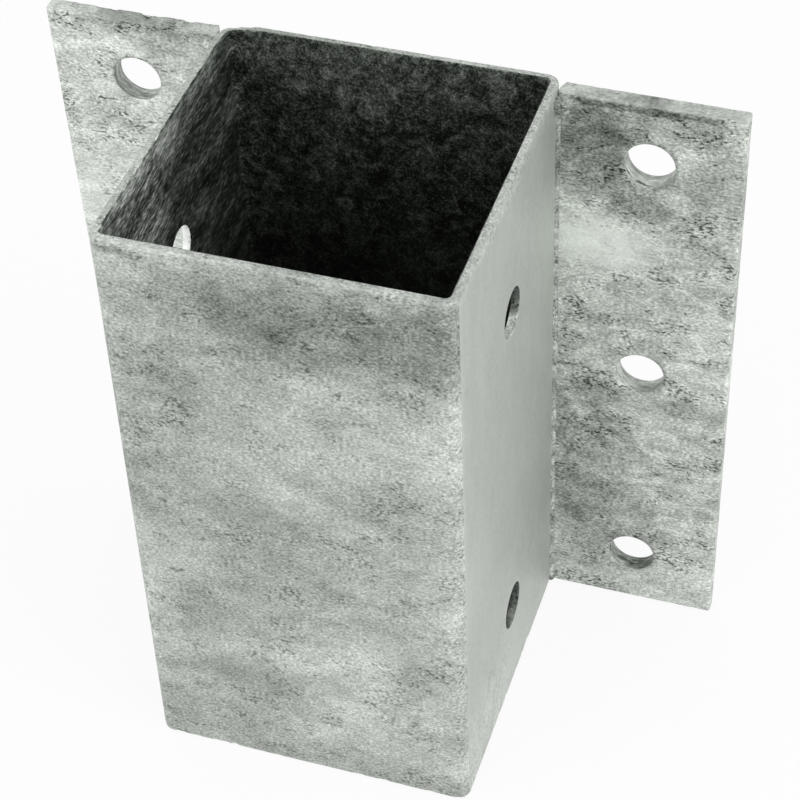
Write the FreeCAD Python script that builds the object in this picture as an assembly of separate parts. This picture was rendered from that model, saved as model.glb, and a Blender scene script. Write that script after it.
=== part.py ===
import FreeCAD, Part
import os
from math import hypot

# Timber post base that is fixed to a wall: a square steel sleeve, open at both ends, takes the post,
# and a flat plate welded to each side of it carries the screws that hold it to the wall.
# Frame: millimetres, +Z up along the post, the wall behind the part at +Y. The origin is on the
# sleeve's axis, at its lower end.

# Post and sleeve: cold-formed square tube
post_size = 70.0            # side of the square post
post_play = 1.0             # room left between post and sleeve, both sides together
sleeve_wall = 2.0
sleeve_inside_radius = 1.0  # inside corners of the tube
sleeve_height = 150.0

# Cross holes, through the left and right walls of the sleeve, for bolts through the post
cross_hole_diameter = 11.0
cross_hole_low = 26.5       # height of the lower pair's axis
cross_hole_pitch = 90.0

# Fixing plates: lengths of rolled flat bar, their backs flush with the back of the sleeve
plate_width = 40.0
plate_thickness = 4.0
plate_edge_radius = 0.8     # rolled long edges
plate_bevel_across = 1.2    # weld bevel on the edge that meets the back of the sleeve's corner
plate_bevel_deep = 2.0
plate_bottom_step = 0.5     # how far the plate's end stays inside the sleeve's end
plate_top_step = 1.5
plate_hole_diameter = 11.0
plate_hole_end = 15.0       # from a plate's end to the axis of its nearest hole
plate_hole_count = 3

# Groove weld: fills the groove between the sleeve's rounded corner and the plate's bevel, at the back
groove_root = 0.8           # where the fill starts, behind the point where plate and corner part
groove_relief = 0.2         # how far the fill stays below the flush backs
groove_end_gap = 6.0        # from the plate's end to the weld's end

# Tack weld: a short rippled fillet in front, at the top, where each plate meets the sleeve's side
tack_leg = 3.2              # reach along the sleeve and along the plate
tack_sink = 1.2             # depth of the bead's axis inside both faces
tack_root = 0.4             # depth to which the bead fills the plate's rolled edge
tack_ripple_count = 3
tack_ripple_pitch = 1.1
tack_ripple_height = 0.3
tack_cap = 0.9              # length of each rounded end
tack_end_gap = 0.6          # from the plate's top end to the bead's end

sleeve_side = post_size + post_play + 2 * sleeve_wall
sleeve_half = sleeve_side / 2
sleeve_corner = sleeve_inside_radius + sleeve_wall
plate_length = sleeve_height - plate_bottom_step - plate_top_step
plate_front = sleeve_half - plate_thickness
plate_top = sleeve_height - plate_top_step
tack_length = 2 * tack_cap + tack_ripple_count * tack_ripple_pitch

UP = FreeCAD.Vector(0, 0, 1)
ACROSS = FreeCAD.Vector(1, 0, 0)
BACK = FreeCAD.Vector(0, 1, 0)
ORIGIN = FreeCAD.Vector(0, 0, 0)


def block(low, high):
    """A plain block between two opposite corners."""
    return Part.makeBox(high[0] - low[0], high[1] - low[1], high[2] - low[2], FreeCAD.Vector(*low))


def rounded_block(low, high, radius):
    """A block whose four upright edges are rounded."""
    plain = block(low, high)
    upright = [edge for edge in plain.Edges if edge.tangentAt(edge.FirstParameter).cross(UP).Length < 0.5]
    return plain.makeFillet(radius, upright)


def square_bar(side, radius):
    """A square bar on the sleeve's axis, as tall as the sleeve."""
    half = side / 2
    return rounded_block((-half, -half, 0), (half, half, sleeve_height), radius)


def round_hole(diameter, start, direction, depth):
    return Part.makeCylinder(diameter / 2, depth, FreeCAD.Vector(*start), direction)


def make_sleeve():
    """Square tube with two round holes drilled straight through its left and right walls."""
    inside = square_bar(sleeve_side - 2 * sleeve_wall, sleeve_inside_radius)
    sleeve = square_bar(sleeve_side, sleeve_corner).cut(inside)
    for height in (cross_hole_low, cross_hole_low + cross_hole_pitch):
        start = (-sleeve_side, 0, height)
        sleeve = sleeve.cut(round_hole(cross_hole_diameter, start, ACROSS, 2 * sleeve_side))
    return sleeve


def make_plate():
    """Right fixing plate: flat bar with rolled edges, a bevel for the weld along its inner back edge,
    and a row of screw holes on its middle line."""
    low = (sleeve_half, plate_front, plate_bottom_step)
    high = (sleeve_half + plate_width, sleeve_half, plate_top)
    plate = rounded_block(low, high, plate_edge_radius)
    corner = FreeCAD.Vector(sleeve_half, sleeve_half, 0)
    bevel = [corner, corner + ACROSS * plate_bevel_across, corner - BACK * plate_bevel_deep, corner]
    plate = plate.cut(Part.Face(Part.makePolygon(bevel)).extrude(UP * sleeve_height))
    pitch = (plate_length - 2 * plate_hole_end) / (plate_hole_count - 1)
    for row in range(plate_hole_count):
        height = plate_bottom_step + plate_hole_end + row * pitch
        start = (sleeve_half + plate_width / 2, plate_front - plate_thickness, height)
        plate = plate.cut(round_hole(plate_hole_diameter, start, BACK, 3 * plate_thickness))
    return plate


def make_groove_weld(plate):
    """Right groove weld: the space between the sleeve's round corner and the bevel, dressed flat."""
    start = max(sleeve_half - sleeve_corner, plate_front + plate_edge_radius) + groove_root
    low = (sleeve_half - sleeve_corner, start, plate_bottom_step + groove_end_gap)
    high = (sleeve_half + plate_bevel_across, sleeve_half - groove_relief, plate_top - groove_end_gap)
    return block(low, high).cut(square_bar(sleeve_side, sleeve_corner)).cut(plate)


def make_tack(plate, foot):
    """Right tack weld, from the height foot upwards: a bead turned about an axis sunk in the corner,
    with one ridge for each dab of the torch, trimmed to the faces that it joins."""
    axis = FreeCAD.Vector(sleeve_half - tack_sink, plate_front + tack_sink, foot)
    ridge = hypot(tack_leg + tack_sink, tack_sink)
    valley = ridge - tack_ripple_height

    def at(reach, height):
        return axis + ACROSS * reach + UP * height

    outline = [at(0, 0), at(0.7 * valley, 0.3 * tack_cap), at(valley, tack_cap)]
    for ripple in range(tack_ripple_count):
        height = tack_cap + ripple * tack_ripple_pitch
        outline.append(at(ridge, height + tack_ripple_pitch / 2))
        outline.append(at(valley, height + tack_ripple_pitch))
    outline += [at(0.7 * valley, tack_length - 0.3 * tack_cap), at(0, tack_length), at(0, 0)]
    bead = Part.Face(Part.makePolygon(outline)).revolve(axis, UP, 360)

    corner = block((sleeve_half - tack_sink, plate_front - ridge, foot),
                   (sleeve_half + ridge, plate_front + tack_root, foot + tack_length))
    return bead.common(corner).cut(square_bar(sleeve_side, sleeve_corner)).cut(plate)


def save(node, shape):
    """Write one node's solid, cleaned of seams left by the cuts."""
    shape = shape.removeSplitter()
    assert shape.isValid() and len(shape.Solids) == 1, node
    shape.Solids[0].exportStep("parts/" + node + ".step")
    print(node, round(shape.Volume, 3), shape.BoundBox)


os.makedirs("parts", exist_ok=True)
save("post_sleeve", make_sleeve())

right_plate = make_plate()
right_side = {
    "fixing_plate": right_plate,
    "groove_weld": make_groove_weld(right_plate),
    "top_tack": make_tack(right_plate, plate_top - tack_end_gap - tack_length),
}
for piece, shape in right_side.items():
    save("right_" + piece, shape)
    save("left_" + piece, shape.mirror(ORIGIN, ACROSS))
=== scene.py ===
from math import ceil, radians, tan

import bmesh
import bpy
from mathutils import Matrix, Vector, noise


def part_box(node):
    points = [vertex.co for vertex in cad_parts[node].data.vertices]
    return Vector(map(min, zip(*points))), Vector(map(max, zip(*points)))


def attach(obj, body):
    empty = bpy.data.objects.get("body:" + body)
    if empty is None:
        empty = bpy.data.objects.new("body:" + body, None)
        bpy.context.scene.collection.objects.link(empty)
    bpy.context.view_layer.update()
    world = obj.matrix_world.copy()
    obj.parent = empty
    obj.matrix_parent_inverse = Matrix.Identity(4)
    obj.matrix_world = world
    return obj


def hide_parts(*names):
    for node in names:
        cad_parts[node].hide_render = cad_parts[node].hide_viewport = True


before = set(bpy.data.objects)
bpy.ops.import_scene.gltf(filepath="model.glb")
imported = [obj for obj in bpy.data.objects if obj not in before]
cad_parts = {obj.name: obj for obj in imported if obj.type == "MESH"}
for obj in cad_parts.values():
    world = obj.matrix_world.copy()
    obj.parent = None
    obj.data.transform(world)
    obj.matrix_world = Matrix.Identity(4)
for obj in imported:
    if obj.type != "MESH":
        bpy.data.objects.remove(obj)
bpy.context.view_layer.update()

# ---------------------------------------------------------------------------------------
# Post sleeve: a length of cold-formed square tube, sawn off at both ends, with two pairs of
# bolt holes drilled through its side walls. It is dipped in molten zinc, which softens each
# sawn or drilled edge and sets as a mottled grey skin, full of small dark specks.

sleeve_low, sleeve_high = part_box("post_sleeve")
sleeve_half = sleeve_high.x
sleeve_wall = 0.002
sleeve_corner = 0.003
cross_hole_radius = 0.0055
cross_hole_heights = (0.0265, 0.1165)
hole_patch = 0.008          # half the square of sheet that is laid out as rings round a hole
hole_rings = 3
sawn_edge = 0.0007          # rounding that the zinc leaves on a sawn end, outside
bore_edge = 0.0003          # the same on the inside of the wall
hole_edge = 0.0002          # and round a hole
sharp_turn = radians(60)    # faces that meet at more than this have a sharp edge between them
hair = 1e-6                 # places that are closer than this are the same place
hole_wall_reach = 1.1       # a face nearer a hole's middle than this many radii is part of its wall

ACROSS, BACK, UP = Vector((1, 0, 0)), Vector((0, 1, 0)), Vector((0, 0, 1))


def score(bm, axis, stops, pitch):
    """Divide the sheet across an axis into strips no wider than pitch, with a line at each stop."""
    for near, far in zip(stops, stops[1:]):
        strips = ceil((far - near) / pitch - 0.01)
        for strip in range(strips):
            level = near + (far - near) * strip / strips
            bmesh.ops.bisect_plane(bm, geom=bm.verts[:] + bm.edges[:] + bm.faces[:], dist=hair,
                                   plane_co=axis * level, plane_no=axis)


def drill(bm, centre, radius):
    """Open a round hole in a scored sheet: clear a square patch, then draw its border in to a circle."""
    def on_patch(point):
        return max(abs(part) for part in point - centre) < hole_patch + hair

    patch = [face for face in bm.faces if on_patch(face.calc_center_median())]
    bmesh.ops.delete(bm, geom=patch, context="FACES")
    border = [edge for edge in bm.edges
              if edge.is_boundary and on_patch((edge.verts[0].co + edge.verts[1].co) / 2)]
    for rings_left in range(hole_rings, 0, -1):
        drawn = bmesh.ops.extrude_edge_only(bm, edges=border)["geom"]
        border = [part for part in drawn if isinstance(part, bmesh.types.BMEdge) and part.is_boundary]
        for vert in {vert for edge in border for vert in edge.verts}:
            on_circle = centre + (vert.co - centre).normalized() * radius
            vert.co = vert.co.lerp(on_circle, 1 / rings_left)


def thicken(bm, thickness, behind):
    """Turn the sheet into a wall, on the side where the point behind lies."""
    bmesh.ops.remove_doubles(bm, verts=bm.verts[:], dist=hair)
    bmesh.ops.recalc_face_normals(bm, faces=bm.faces[:])
    first = next(iter(bm.faces))
    if first.normal.dot(first.calc_center_median() - behind) < 0:
        bmesh.ops.reverse_faces(bm, faces=bm.faces[:])
    bmesh.ops.solidify(bm, geom=bm.faces[:], thickness=thickness)


def round_off(bm, edges, radius, segments=3):
    """Round some edges over, and return the vertices of the rounding."""
    return bmesh.ops.bevel(bm, geom=edges, affect="EDGES", offset=radius, offset_type="OFFSET",
                           segments=segments, profile=0.5, material=-1)["verts"]


def is_level(edge, height):
    """Whether an edge lies flat at a height."""
    return all(abs(vert.co.z - height) < hair for vert in edge.verts)


def zinc_edges(bm, low, high, end_radius):
    """Round the edges of both ends, then those of the holes, and mark them in a mask for the zinc's
    look, which is 1 on the ends and weights the painted highlight where a finish lightens its edges."""
    mask = bm.verts.layers.float.new("edge")
    for radius, paleness in ((end_radius, 1.0), (hole_edge, 0.9)):
        sharp = [edge for edge in bm.edges if edge.calc_face_angle(0) > sharp_turn]
        ends = [edge for edge in sharp if is_level(edge, low.z) or is_level(edge, high.z)]
        # Once the ends are rounded, the only sharp edges left are those of the holes.
        for vert in round_off(bm, ends or sharp, radius):
            vert[mask] = paleness
    return mask


def dent(bm, mask, low, high, nick_depth, wave_depth, seed, dips=()):
    """Press in the skin: a faint wave all over, small nicks along the ends, and a few wide dips, each
    given as (centre, reach, fall). Nothing moves out of the box from low to high."""
    wave_length, nick_length = 0.012, 0.0018
    unnicked = 0.2              # share of the noise that leaves an end whole
    bm.normal_update()
    shift = Vector((seed, 2.3 * seed, 3.7 * seed))
    for vert in bm.verts:
        wave = 0.5 + 0.5 * noise.noise(vert.co / wave_length + shift)
        on_end = vert[mask] > 0.95
        nick = on_end * max(0.0, noise.noise(vert.co / nick_length - shift) - unnicked)
        moved = vert.co - vert.normal * (wave_depth * wave + nick_depth * nick)
        for centre, reach, fall in dips:
            near = 1 - min(1.0, (vert.co - centre).length / reach)
            moved += fall * (near * near * (3 - 2 * near))
        vert.co = [min(max(part, least), most) for part, least, most in zip(moved, low, high)]


def as_piece(bm, name, materials, slot, *nodes):
    """Make the finished mesh a smooth-shaded piece that stands for the named CAD nodes."""
    mesh = bpy.data.meshes.new(name)
    bm.to_mesh(mesh)
    bm.free()
    mesh.shade_smooth()
    for material in materials:
        mesh.materials.append(material)
    piece = bpy.data.objects.new(name, mesh)
    bpy.context.collection.objects.link(piece)
    if nodes:
        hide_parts(*nodes)
    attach(piece, "root")
    return piece


def place(tree, kind, inputs=None, **settings):
    """Put one shader node in a tree. Numbers are set on its inputs, sockets are linked to them."""
    made = tree.nodes.new("ShaderNode" + kind)
    for name, value in settings.items():
        setattr(made, name, value)
    for name, value in (inputs or {}).items():
        if isinstance(value, bpy.types.NodeSocket):
            tree.links.new(value, made.inputs[name])
        else:
            made.inputs[name].default_value = value
    return made


def maths(tree, operation, *values):
    """One sum on numbers or sockets."""
    return place(tree, "Math", dict(enumerate(values)), operation=operation).outputs[0]


def step(tree, value, low, high, to_low=0.0, to_high=1.0):
    """A smooth step of value between low and high."""
    ends = {"Value": value, "From Min": low, "From Max": high, "To Min": to_low, "To Max": to_high}
    return place(tree, "MapRange", ends, interpolation_type="SMOOTHSTEP").outputs[0]


def cloud(tree, vector, size, detail=2.0, roughness=0.5, distortion=0.0):
    """Soft noise about zero, with blobs about size across."""
    made = place(tree, "TexNoise", {"Vector": vector, "Scale": 1 / size, "Detail": detail,
                                    "Roughness": roughness, "Distortion": distortion})
    return maths(tree, "SUBTRACT", made.outputs[0], 0.5)


def new_group(name, inputs, outputs):
    """A shader group, with its inner ends. Inputs map a name to its default, outputs to its kind."""
    group = bpy.data.node_groups.new(name, "ShaderNodeTree")
    for label, default in inputs.items():
        kind = "NodeSocketFloat" if isinstance(default, float) else "NodeSocketVector"
        group.interface.new_socket(label, in_out="INPUT", socket_type=kind).default_value = default
    for label, kind in outputs.items():
        group.interface.new_socket(label, in_out="OUTPUT", socket_type="NodeSocket" + kind)
    return group, group.nodes.new("NodeGroupInput").outputs, group.nodes.new("NodeGroupOutput").inputs


# The zinc skin: wide soft clouds, ragged blotches, herds of small dark specks, dark wisps, and a
# grain like salt and pepper. Shade is how light the skin looks, from 0, black, to 1, white, and
# Calm takes texture away, or adds to it where it is negative.
zinc_skin, given, made = new_group(
    "zinc_skin",
    {"Vector": (0.0, 0.0, 0.0), "Shade": 0.68, "Clouds": 0.42, "Blotches": 0.3, "Specks": 0.2, "Grain": 0.7,
     "Calm": 0.0},
    {"Colour": "Color", "Roughness": "Float", "Height": "Float"})
where = given["Vector"]
clouds = cloud(zinc_skin, where, size=0.024, detail=2.0, roughness=0.5, distortion=0.6)
blotches = cloud(zinc_skin, where, size=0.0042, detail=4.0, roughness=0.62, distortion=1.0)
grain = cloud(zinc_skin, where, size=0.0005, detail=2.0, roughness=0.65)
herd = cloud(zinc_skin, where, size=0.006, detail=4.0, roughness=0.62, distortion=0.8)
speck = cloud(zinc_skin, where, size=0.00058, detail=1.0)
wisp = cloud(zinc_skin, where, size=0.0026, detail=5.0, roughness=0.75, distortion=0.7)
speck = maths(zinc_skin, "MULTIPLY", step(zinc_skin, herd, -0.02, 0.16), step(zinc_skin, speck, 0.0, 0.14))
specks = maths(zinc_skin, "MAXIMUM", speck, step(zinc_skin, wisp, 0.1, 0.24, to_high=0.6))
texture = maths(zinc_skin, "MULTIPLY", grain, given["Grain"])
texture = maths(zinc_skin, "MULTIPLY_ADD", blotches, given["Blotches"], texture)
texture = maths(zinc_skin, "SUBTRACT", texture, maths(zinc_skin, "MULTIPLY", specks, given["Specks"]))
lively = maths(zinc_skin, "SUBTRACT", 1.0, given["Calm"])
shade = maths(zinc_skin, "MULTIPLY_ADD", clouds, given["Clouds"], given["Shade"])
shade = maths(zinc_skin, "MULTIPLY_ADD", texture, lively, shade)
darkest, screen_gamma = 0.02, 2.2
tint = place(zinc_skin, "CombineXYZ")
for channel, lift in enumerate((-0.006, 0.014, -0.01)):
    level = maths(zinc_skin, "MAXIMUM", maths(zinc_skin, "ADD", shade, lift), darkest)
    zinc_skin.links.new(maths(zinc_skin, "POWER", level, screen_gamma), tint.inputs[channel])
zinc_skin.links.new(tint.outputs[0], made["Colour"])
zinc_skin.links.new(step(zinc_skin, shade, 0.35, 0.85, to_low=0.7, to_high=0.5), made["Roughness"])
zinc_skin.links.new(maths(zinc_skin, "SUBTRACT", grain, specks), made["Height"])

# A stain: a patch of the skin with soft, ragged borders, darker or paler than the rest. Some
# materials also use it for painted light and painted shade.
stain_and_painted_light, given, made = new_group(
    "stain_and_painted_light",
    {"Vector": (0.0, 0.0, 0.0), "Centre": (0.0, 0.0, 0.0), "Reach": (0.01, 0.01, 0.01), "Ragged": 1.0},
    {"Mask": "Float"})
away = place(stain_and_painted_light, "VectorMath", {0: given["Vector"], 1: given["Centre"]}, operation="SUBTRACT").outputs[0]
away = place(stain_and_painted_light, "VectorMath", {0: away, 1: given["Reach"]}, operation="DIVIDE").outputs[0]
away = place(stain_and_painted_light, "VectorMath", {0: away}, operation="LENGTH").outputs["Value"]
torn = cloud(stain_and_painted_light, given["Vector"], size=0.009, detail=5.0, roughness=0.65, distortion=0.7)
away = maths(stain_and_painted_light, "MULTIPLY_ADD", torn, given["Ragged"], away)
stain_and_painted_light.links.new(step(stain_and_painted_light, away, 1.0, 0.3), made["Mask"])


def mark(gain, centre, reach, ragged=1.0, calmer=0.0):
    """A stain on one material, also used for painted light and painted shade: how much lighter, where,
    how far along each axis, how ragged its border is, and how much calmer its texture."""
    return gain, centre, reach, ragged, calmer


def zinc_material(name, shade, marks=(), edge_gain=0.02, edge_calm=0.5, stretch=(1, 1, 1), bump=0.3,
                  **amounts):
    """Galvanised steel. The edges are lighter by edge_gain, a painted highlight where it is above 0, and
    calmer by edge_calm, stretch draws the texture out along each axis where it is below 1, and the
    amounts are inputs of the zinc skin."""
    material = bpy.data.materials.new(name)
    material.use_nodes = True
    tree = material.node_tree
    shader = tree.nodes["Principled BSDF"]
    where = place(tree, "TexCoord").outputs["Object"]
    edge = place(tree, "Attribute", attribute_name="edge").outputs["Fac"]
    level = maths(tree, "MULTIPLY_ADD", edge, edge_gain, shade)
    calm = step(tree, edge, 0.85, 1.0, 0.0, edge_calm)
    for gain, centre, reach, ragged, calmer in marks:
        patch = place(tree, "Group", node_tree=stain_and_painted_light)
        tree.links.new(where, patch.inputs["Vector"])
        patch.inputs["Centre"].default_value = centre
        patch.inputs["Reach"].default_value = reach
        patch.inputs["Ragged"].default_value = ragged
        level = maths(tree, "MULTIPLY_ADD", patch.outputs[0], gain, level)
        if calmer:
            calm = maths(tree, "MULTIPLY_ADD", patch.outputs[0], calmer, calm)
    skin = place(tree, "Group", node_tree=zinc_skin)
    stretched = place(tree, "Mapping", {"Vector": where, "Scale": stretch}).outputs[0]
    tree.links.new(stretched, skin.inputs["Vector"])
    tree.links.new(level, skin.inputs["Shade"])
    tree.links.new(calm, skin.inputs["Calm"])
    for label, amount in amounts.items():
        skin.inputs[label].default_value = amount
    tree.links.new(skin.outputs["Colour"], shader.inputs["Base Color"])
    tree.links.new(skin.outputs["Roughness"], shader.inputs["Roughness"])
    relief = place(tree, "Bump", {"Height": skin.outputs["Height"], "Strength": bump, "Distance": 0.0002})
    tree.links.new(relief.outputs[0], shader.inputs["Normal"])
    shader.inputs["Metallic"].default_value = 0.6
    return material


# The front has a dark cloud below the rim, fainter ones further down and a paler right edge.
sleeve_front = -sleeve_half
sleeve_outside = zinc_material("sleeve_outside", 0.705, [
    mark(-0.08, (0.004, sleeve_front, 0.138), (0.034, 0.02, 0.016)),
    mark(-0.08, (0.028, sleeve_front, 0.136), (0.018, 0.02, 0.02)),
    mark(-0.05, (0.01, sleeve_front, 0.136), (0.05, 0.02, 0.02)),
    mark(-0.05, (-0.002, sleeve_front, 0.128), (0.008, 0.02, 0.016), ragged=2.0),
    mark(-0.07, (-0.026, sleeve_front, 0.117), (0.012, 0.02, 0.004), ragged=2.0),
    mark(-0.06, (-0.012, sleeve_front, 0.083), (0.02, 0.02, 0.009), ragged=1.2, calmer=0.2),
    mark(-0.06, (-0.012, sleeve_front, 0.029), (0.018, 0.02, 0.008), ragged=1.2, calmer=0.2),
    mark(0.06, (0.033, sleeve_front, 0.07), (0.009, 0.02, 0.07)),
    mark(-0.05, (-0.022, sleeve_front, 0.138), (0.02, 0.02, 0.012), ragged=1.5),
    mark(-0.13, (-0.032, sleeve_front, 0.1478), (0.008, 0.01, 0.0012), ragged=1.2)],
    edge_calm=0.25, stretch=(0.65, 1, 1))
# The sides look smooth: their slightly paler shade and calmed texture are a painted sheen. They are
# mottled only along the top and at the foot, and the paler foot is painted light from the floor.
sleeve_sides_painted_light = zinc_material("sleeve_sides_painted_light", 0.72, [
    mark(0.05, (sleeve_half, 0, sleeve_high.z), (0.01, 0.06, 0.0045), ragged=1.2, calmer=-4),
    mark(-0.03, (sleeve_half, -0.01, 0.04), (0.02, 0.05, 0.03), ragged=0.5),
    mark(0.02, (sleeve_half, -0.025, 0.0), (0.03, 0.035, 0.03), calmer=-2.5)],
    edge_calm=-4, stretch=(1, 1, 0.4), Clouds=0.05, Blotches=0.07, Specks=0.03, Grain=0.13, bump=0.05)
# The bore is dark with painted shade, also low on the back wall and in a thin line at the left rim's
# inner edge; its paler streaks down the left wall and the paler band below the rim are painted light.
sleeve_bore_painted_shade = zinc_material("sleeve_bore_painted_shade", 0.24, [
    mark(0.27, (-sleeve_half, -0.026, 0.14), (0.02, 0.032, 0.034), ragged=1.6, calmer=-0.8),
    mark(0.09, (-sleeve_half, 0.0, 0.13), (0.02, 0.06, 0.05), ragged=2.0, calmer=-0.4),
    mark(0.34, (-sleeve_half, 0.0, sleeve_high.z), (0.01, 0.06, 0.005), ragged=1.6),
    mark(-0.27, (sleeve_wall - sleeve_half, 0.0, sleeve_high.z), (0.001, 0.09, 0.0008), ragged=0.0),
    mark(0.12, (0.0, sleeve_half, 0.15), (0.06, 0.02, 0.02), ragged=2.5),
    mark(-0.04, (0.0, sleeve_half, 0.05), (0.08, 0.05, 0.08), ragged=0.6, calmer=0.5)],
    edge_calm=-0.2, stretch=(1, 0.22, 1), Clouds=0.25, Blotches=0.9, Specks=0.1, Grain=1.0)
# The drilled holes' walls are dark with painted shade. In the left wall they are pale with painted
# light, in the right one their lower half is paler with painted light, and their rims have a painted
# highlight.
left_holes_painted_light = [mark(0.58, (-sleeve_half, 0, height), (0.02, 0.02, 0.02), ragged=0.0)
              for height in cross_hole_heights]
right_holes_painted_light = [mark(gain, (sleeve_half, -0.001, height - 0.006), (0.02, 0.008, 0.009), ragged=1.6)
              for height, gain in zip(cross_hole_heights, (0.12, 0.42))]
drilled = zinc_material("drilled_hole_painted_shade", 0.08, left_holes_painted_light + right_holes_painted_light, edge_gain=0.4,
                        Blotches=0.8, Specks=0.3)
sleeve_finishes = [sleeve_outside, sleeve_bore_painted_shade, sleeve_sides_painted_light, drilled]

bm = bmesh.new()
square = [bm.verts.new((x * sleeve_half, y * sleeve_half, 0))
          for x, y in ((-1, -1), (1, -1), (1, 1), (-1, 1))]
bm.faces.new(square)
bmesh.ops.bevel(bm, geom=square, affect="VERTICES", offset=sleeve_corner, segments=6, profile=0.5,
                material=-1)
bmesh.ops.delete(bm, geom=bm.faces[:], context="FACES_ONLY")
walls = bmesh.ops.extrude_edge_only(bm, edges=bm.edges[:])["geom"]
bmesh.ops.translate(bm, verts=[part for part in walls if isinstance(part, bmesh.types.BMVert)],
                    vec=UP * sleeve_high.z)
flat = sleeve_half - sleeve_corner
end_line = sawn_edge * 2
strip_across, strip_up = 0.0012, 0.002
hole_lines = [height + side * hole_patch for height in cross_hole_heights for side in (-1, 1)]
score(bm, ACROSS, [-flat, flat], strip_across)
score(bm, BACK, [-flat, -hole_patch, hole_patch, flat], strip_across)
score(bm, UP, [0.0, end_line, *hole_lines, sleeve_high.z - end_line, sleeve_high.z], strip_up)
for height in cross_hole_heights:
    for side in (-1, 1):
        drill(bm, Vector((side * sleeve_half, 0, height)), cross_hole_radius)
thicken(bm, sleeve_wall, Vector((0, 0, sleeve_half)))
mid_wall = sleeve_half - sleeve_wall / 2
bore_ends = [edge for edge in bm.edges if edge.calc_face_angle(0) > sharp_turn
             and max(abs(part) for vert in edge.verts for part in vert.co.xy) < mid_wall
             and (is_level(edge, 0.0) or is_level(edge, sleeve_high.z))]
round_off(bm, bore_ends, bore_edge)
edge_mask = zinc_edges(bm, sleeve_low, sleeve_high, sawn_edge)

# Each face takes the finish of its place, and the rounded corners are as pale as the rims: a painted
# highlight.
bore_limit = sleeve_half - sleeve_wall * 0.8        # nearer the axis, a face that looks inwards is bore
square_on, leaning = 0.97, 0.3                      # shares of a normal: straight out, and hardly up
corner_highlight = 0.8
bm.normal_update()
for face in bm.faces:
    middle, out = face.calc_center_median(), face.normal
    from_hole = min(Vector((middle.y, middle.z - height)).length for height in cross_hole_heights)
    if middle.xy.dot(out.xy) < 0 and max(abs(middle.x), abs(middle.y)) < bore_limit:
        face.material_index = sleeve_finishes.index(sleeve_bore_painted_shade)
    elif abs(out.x) > square_on:
        face.material_index = sleeve_finishes.index(sleeve_sides_painted_light)
    elif from_hole < cross_hole_radius * hole_wall_reach:
        face.material_index = sleeve_finishes.index(drilled)
for vert in bm.verts:
    if min(abs(vert.co.x), abs(vert.co.y)) > flat and abs(vert.normal.z) < leaning:
        vert[edge_mask] = max(vert[edge_mask], corner_highlight)

# The rim has been knocked down a little at its rear left corner.
rear_left_dip = (Vector((-sleeve_half, sleeve_half, sleeve_high.z)), 0.009, UP * -0.0012)
dent(bm, edge_mask, sleeve_low, sleeve_high, nick_depth=0.0005, wave_depth=0.00006, seed=1.0,
     dips=[rear_left_dip])
as_piece(bm, "sleeve", sleeve_finishes, "galvanised_steel", "post_sleeve")

# ---------------------------------------------------------------------------------------
# Fixing plates: two lengths of rolled flat bar, sheared off at the ends, each with three
# punched screw holes on its middle line. The edge beside the sleeve is bevelled at the back
# for the weld, and the outer edge of the left plate is cut a little out of square.

plate_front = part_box("right_fixing_plate")[0].y
plate_edge = 0.0008         # rounding of the rolled long edges
plate_bevel_across, plate_bevel_deep = 0.0012, 0.002
plate_hole_radius = 0.0055
plate_hole_end = 0.015      # from a plate's end to the middle of its nearest hole
sheared_edge = 0.00025      # rounding that the zinc leaves on a sheared end
left_plate_skew = tan(radians(1.33))

# The right plate has a dark cloud round its top hole and a calm, pale spot below it.
plate_marks = {
    "right": [
        mark(-0.21, (0.046, plate_front, 0.135), (0.016, 0.02, 0.018), ragged=1.8),
        mark(-0.14, (0.062, plate_front, 0.144), (0.022, 0.02, 0.007), ragged=2.0),
        mark(-0.25, (0.056, plate_front, 0.1474), (0.024, 0.02, 0.0014), ragged=0.4),
        mark(0.10, (0.047, plate_front, 0.1105), (0.017, 0.02, 0.011), ragged=0.4, calmer=0.7),
        mark(-0.14, (0.058, plate_front, 0.122), (0.012, 0.02, 0.006), ragged=2.0),
        mark(-0.14, (0.044, plate_front, 0.045), (0.018, 0.02, 0.03), ragged=2.0),
        mark(-0.08, (0.05, plate_front, 0.02), (0.02, 0.02, 0.02), ragged=1.5),
        mark(0.03, (0.07, plate_front, 0.08), (0.012, 0.02, 0.03), ragged=2.0),
        mark(-0.07, (0.072, plate_front, 0.132), (0.01, 0.02, 0.02))],
    "left": [
        mark(-0.03, (-0.048, plate_front, 0.143), (0.012, 0.02, 0.008), ragged=2.0),
        mark(-0.07, (-0.056, plate_front, 0.147), (0.03, 0.02, 0.006), ragged=1.5),
        mark(-0.10, (-0.06, plate_front, 0.1475), (0.03, 0.02, 0.002), ragged=1.5),
        mark(0.03, (-0.06, plate_front, 0.098), (0.03, 0.02, 0.02), calmer=0.4)],
}
# The punched holes' rims are pale with a painted highlight.
punched = zinc_material("punched_hole", 0.67, edge_gain=0.2, stretch=(0.25, 1, 0.25),
                        Blotches=0.6, Specks=0.3)

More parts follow.
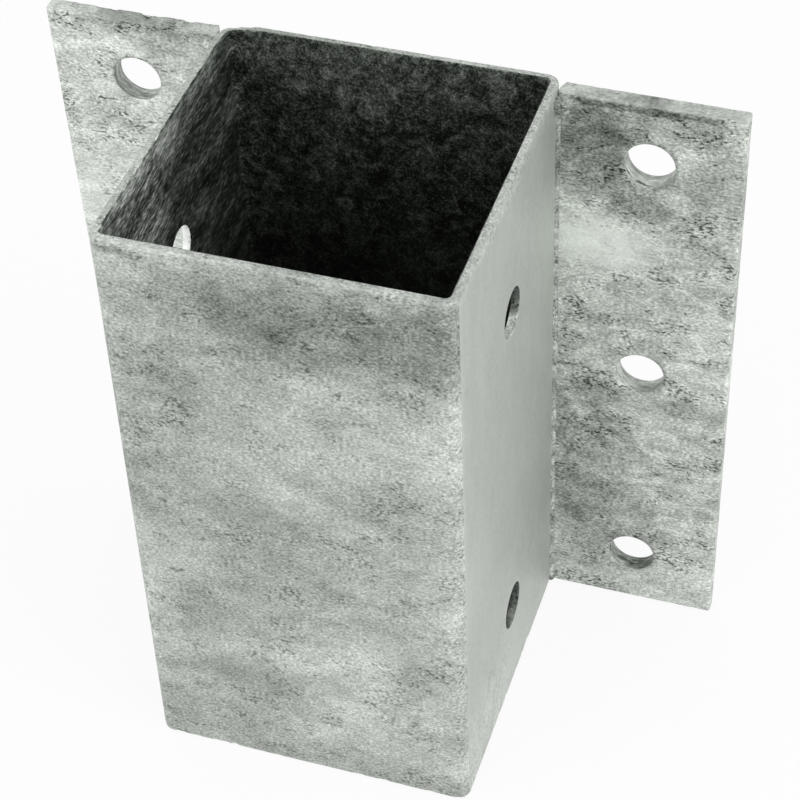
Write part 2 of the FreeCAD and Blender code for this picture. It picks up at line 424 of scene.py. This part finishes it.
for side, hand, shade, nick_depth in ((1, "right", 0.775, 0.0004), (-1, "left", 0.825, 0.0014)):
    low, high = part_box(hand + "_fixing_plate")
    middle = (low.x + high.x) / 2
    half_width = (high.x - low.x) / 2
    heights = [low.z + plate_hole_end, (low.z + high.z) / 2, high.z - plate_hole_end]
    hole_lines = [height + way * hole_patch for height in heights for way in (-1, 1)]
    end_line = sheared_edge * 2
    strip_across, strip_up = 0.001, 0.0015
    bm = bmesh.new()
    corners = [(low.x, low.z), (high.x, low.z), (high.x, high.z), (low.x, high.z)]
    bm.faces.new([bm.verts.new((x, low.y, z)) for x, z in corners])
    score(bm, ACROSS, [low.x, middle - hole_patch, middle + hole_patch, high.x], strip_across)
    score(bm, UP, [low.z, low.z + end_line, *hole_lines, high.z - end_line, high.z], strip_up)
    for height in heights:
        drill(bm, Vector((middle, low.y, height)), plate_hole_radius)
    thicken(bm, high.y - low.y, Vector((middle, high.y, 0)))

    # The upright edges: first the one beside the sleeve, bevelled at the back, then the rolled ones.
    upright = [edge for edge in bm.edges if edge.calc_face_angle(0) > sharp_turn
               and all(abs(abs(vert.co.x - middle) - half_width) < hair for vert in edge.verts)
               and abs(edge.verts[0].co.y - edge.verts[1].co.y) < hair]
    welded = [edge for edge in upright if abs(edge.verts[0].co.x) < sleeve_half + hair
              and edge.verts[0].co.y > high.y - hair]
    for vert in round_off(bm, welded, plate_bevel_across, segments=1):
        if vert.co.y < high.y - hair:
            vert.co.y = high.y - plate_bevel_deep
    round_off(bm, [edge for edge in upright if edge.is_valid], plate_edge, segments=4)
    edge_mask = zinc_edges(bm, low, high, sheared_edge)
    dent(bm, edge_mask, low, high, nick_depth, wave_depth=0.00005, seed=2.0 + side)
    if hand == "left":
        lean_start = middle - hole_patch
        for vert in bm.verts:
            outer = max(0.0, lean_start - vert.co.x) / (lean_start - low.x)
            vert.co.x += outer * left_plate_skew * (high.z - vert.co.z)

    finish = zinc_material(hand + "_plate_skin", shade, plate_marks[hand], edge_gain=-0.02,
                           stretch=(0.6, 1, 1), Blotches=0.6, Clouds=0.3, Specks=0.38, Grain=0.8)
    finishes = [finish, punched]
    for face in bm.faces:
        spot = face.calc_center_median().xz
        from_hole = min((spot - Vector((middle, height))).length for height in heights)
        if abs(face.normal.y) < 0.7 and from_hole < plate_hole_radius * hole_wall_reach:
            face.material_index = finishes.index(punched)
    as_piece(bm, hand + "_plate", finishes, "galvanised_steel", hand + "_fixing_plate")

# ---------------------------------------------------------------------------------------
# Welds: a groove weld at the back of each joint, laid dab by dab and dressed nearly flush, and
# one short tack in front at the top. Below the tack, molten zinc has run into the corner and
# left a thin fillet that ends in a drop at the foot.

def dab(bm, centre, reach):
    """One dab of weld metal: a small ball, stretched to its reach along each axis."""
    shape = Matrix.Translation(centre) @ Matrix.Diagonal((*reach, 1))
    bmesh.ops.create_icosphere(bm, subdivisions=3, radius=1, matrix=shape)


def fuse(bm, voxel):
    """Melt overlapping dabs into one closed skin."""
    mesh = bpy.data.meshes.new("melt")
    bm.to_mesh(mesh)
    melt = bpy.data.objects.new("melt", mesh)
    bpy.context.collection.objects.link(melt)
    remesh = melt.modifiers.new("remesh", "REMESH")
    remesh.mode, remesh.voxel_size = "VOXEL", voxel
    smooth = melt.modifiers.new("smooth", "SMOOTH")
    smooth.factor, smooth.iterations = 0.5, 2
    skin = bpy.data.meshes.new_from_object(melt.evaluated_get(bpy.context.evaluated_depsgraph_get()))
    bpy.data.objects.remove(melt)
    bm.clear()
    bm.from_mesh(skin)
    bpy.data.meshes.remove(skin)


def trim(bm, point, outward):
    """Cut the metal off flat beyond a plane, and close the cut."""
    cut = bmesh.ops.bisect_plane(bm, geom=bm.verts[:] + bm.edges[:] + bm.faces[:], dist=hair,
                                 plane_co=point, plane_no=outward, clear_outer=True)["geom_cut"]
    bmesh.ops.holes_fill(bm, edges=[part for part in cut if isinstance(part, bmesh.types.BMEdge)])


# The welds are darker near the top of the right joint, and darkest in the drop at its foot.
weld_skin = zinc_material("weld_skin", 0.69, [
    mark(-0.14, (sleeve_half, plate_front, 0.132), (0.01, 0.02, 0.018), ragged=1.5),
    mark(-0.3, (sleeve_half, plate_front, 0.0004), (0.004, 0.004, 0.0022), ragged=0.0)],
    Blotches=0.7, Specks=0.35)

tack_sink = 0.0004          # how deep a tack is fused into the sleeve, and twice as deep into the plate
# Each dab of a tack: out from the sleeve, down from the tack's top, and its reach.
tack_dabs = (
    (0.0011, 0.0009, (0.0025, 0.0023, 0.0010)),
    (0.0005, 0.0019, (0.0026, 0.0021, 0.0011)),
    (0.0013, 0.0030, (0.0018, 0.0019, 0.0011)),
    (0.0001, 0.0036, (0.0021, 0.0018, 0.0012)))
tack_proud = 0.0005         # how far in front of the plate the dabs are centred

run_leg = 0.0009            # reach of the zinc fillet along the sleeve and along the plate
run_foot = 0.0012           # from the sleeve's foot to the fillet's end
# The concave section of the fillet, in legs: out along the plate, and back towards the wall.
run_section = (
    (-0.3, -1.0), (0.05, -1.0), (0.15, -0.45), (0.45, -0.12), (1.0, -0.02), (1.0, 0.4), (-0.3, 0.4))
run_drop = (0.0008, 0.0008, 0.001)
run_drop_proud = 0.0003
run_swell, swell_length = 0.0002, 0.004

groove_pitch = 0.0023       # from one dab of the back weld to the next
groove_dab = (0.0019, 0.00125, 0.0018)
groove_inset, groove_depth = 0.0002, 0.0008     # from the sleeve's side and back to the dabs' middle
groove_sway = 0.0002
groove_dressed = 0.00005    # how far the dressed weld stays below the back of the sleeve

for side, hand in ((1, "right"), (-1, "left")):
    low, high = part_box(hand + "_top_tack")
    corner = Vector((side * sleeve_half, plate_front, 0))
    out = ACROSS * side

    bm = bmesh.new()
    for outward, down, reach in tack_dabs:
        dab(bm, corner + out * outward - BACK * tack_proud + UP * (high.z - down), reach)
    fuse(bm, voxel=0.00018)
    trim(bm, corner - out * tack_sink, -out)
    trim(bm, corner + BACK * tack_sink * 2, BACK)
    as_piece(bm, hand + "_tack", [weld_skin], "galvanised_weld", hand + "_top_tack")

    foot, top = corner + UP * run_foot, low.z
    bm = bmesh.new()
    section = [bm.verts.new(foot + out * across * run_leg + BACK * back * run_leg)
               for across, back in run_section]
    drawn = bmesh.ops.extrude_face_region(bm, geom=[bm.faces.new(section)])["geom"]
    bmesh.ops.translate(bm, verts=[part for part in drawn if isinstance(part, bmesh.types.BMVert)],
                        vec=UP * (top - foot.z))
    dab(bm, foot - BACK * run_drop_proud + out * run_drop_proud, run_drop)
    fuse(bm, voxel=0.00025)
    for vert in bm.verts:
        swell = noise.noise(vert.co / swell_length + Vector((side, 0, 0)))
        vert.co += (out - BACK) * run_swell * swell
    as_piece(bm, hand + "_zinc_run", [weld_skin], "galvanised_weld")

    low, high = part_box(hand + "_groove_weld")
    bm = bmesh.new()
    dabs = round((high.z - low.z) / groove_pitch)
    for number in range(dabs):
        height = low.z + (high.z - low.z) * (number + 0.5) / dabs
        sway = groove_sway * noise.noise(Vector((side * 7.0, 0, number * 0.37)))
        spot = (side * (sleeve_half - groove_inset + sway), sleeve_half - groove_depth + sway, height)
        dab(bm, Vector(spot), groove_dab)
    fuse(bm, voxel=0.0003)
    trim(bm, BACK * (sleeve_half - groove_dressed), BACK)
    as_piece(bm, hand + "_back_weld", [weld_skin], "galvanised_weld", hand + "_groove_weld")

# ---------------------------------------------------------------------------------------
# Floor, light and camera: a plain white floor with a glow, which is off inside the sleeve, an even
# white surround, and two large soft lamps. The camera stands above, in front and to the right.

floor_size, floor_gap = 4.0, 0.0001
floor_glow = 0.88
dim_surround, full_surround = 0.8, 1.0      # what lights the object, and what is seen or mirrored

floor_mesh = bpy.data.meshes.new("floor")
bm = bmesh.new()
bmesh.ops.create_grid(bm, x_segments=1, y_segments=1, size=floor_size,
                      matrix=Matrix.Translation(UP * -floor_gap))
bm.to_mesh(floor_mesh)
bm.free()
floor = bpy.data.objects.new("floor", floor_mesh)
bpy.context.collection.objects.link(floor)


def seen(tree):
    """1 for a ray that comes from the camera, straight, mirrored or through glass, and 0 for others."""
    path = place(tree, "LightPath").outputs
    bent = maths(tree, "MAXIMUM", path["Is Glossy Ray"], path["Is Transmission Ray"])
    return maths(tree, "MAXIMUM", path["Is Camera Ray"], bent)


paper = bpy.data.materials.new("floor_paper")
paper.use_nodes = True
floor_mesh.materials.append(paper)
tree = paper.node_tree
shader = tree.nodes["Principled BSDF"]
shader.inputs["Base Color"].default_value = (0.9, 0.9, 0.9, 1)
shader.inputs["Roughness"].default_value = 0.9
white = place(tree, "Emission", {"Color": (1, 1, 1, 1), "Strength": 1.0}).outputs[0]
where = place(tree, "SeparateXYZ", {0: place(tree, "TexCoord").outputs["Object"]}).outputs
away = maths(tree, "MAXIMUM", maths(tree, "ABSOLUTE", where[0]), maths(tree, "ABSOLUTE", where[1]))
open_floor = maths(tree, "GREATER_THAN", away, mid_wall)
glow = maths(tree, "MULTIPLY", maths(tree, "MULTIPLY", seen(tree), open_floor), floor_glow)
mix = place(tree, "MixShader", {0: glow, 1: shader.outputs[0], 2: white})
tree.links.new(mix.outputs[0], tree.nodes["Material Output"].inputs[0])

world = bpy.data.worlds.new("studio")
world.use_nodes = True
bpy.context.scene.world = world
tree = world.node_tree
surround = tree.nodes["Background"].inputs
surround["Color"].default_value = (1, 1, 1, 1)
tree.links.new(step(tree, seen(tree), 0.0, 1.0, dim_surround, full_surround), surround["Strength"])


def soft_lamp(name, stand, watts):
    """A large square lamp that is turned to the middle of the object."""
    lamp = bpy.data.lights.new(name, "AREA")
    lamp.size = 0.8
    lamp.energy = watts
    holder = bpy.data.objects.new(name, lamp)
    holder.location = stand
    aim = Vector((0, 0, sleeve_high.z / 2)) - Vector(stand)
    holder.rotation_euler = aim.to_track_quat("-Z", "Y").to_euler()
    bpy.context.collection.objects.link(holder)


soft_lamp("left_lamp", (-0.7, -0.9, 0.9), watts=3.0)
soft_lamp("right_lamp", (1.0, -0.4, 0.6), watts=5.0)

look_down, look_left, lean = radians(43.566), radians(19.744), radians(-2.612)
camera_data = bpy.data.cameras.new("camera")
camera_data.sensor_width = 36.0
camera_data.lens = 109.06
camera = bpy.data.objects.new("camera", camera_data)
camera.location = (0.14056, -0.35771, 0.44671)
camera.rotation_euler = (radians(90) - look_down, 0, look_left)
camera.rotation_euler.rotate_axis("Z", lean)
camera_data.clip_start, camera_data.clip_end = 0.01, 20
bpy.context.collection.objects.link(camera)
bpy.context.scene.camera = camera
bpy.context.scene.view_settings.view_transform = "Standard"
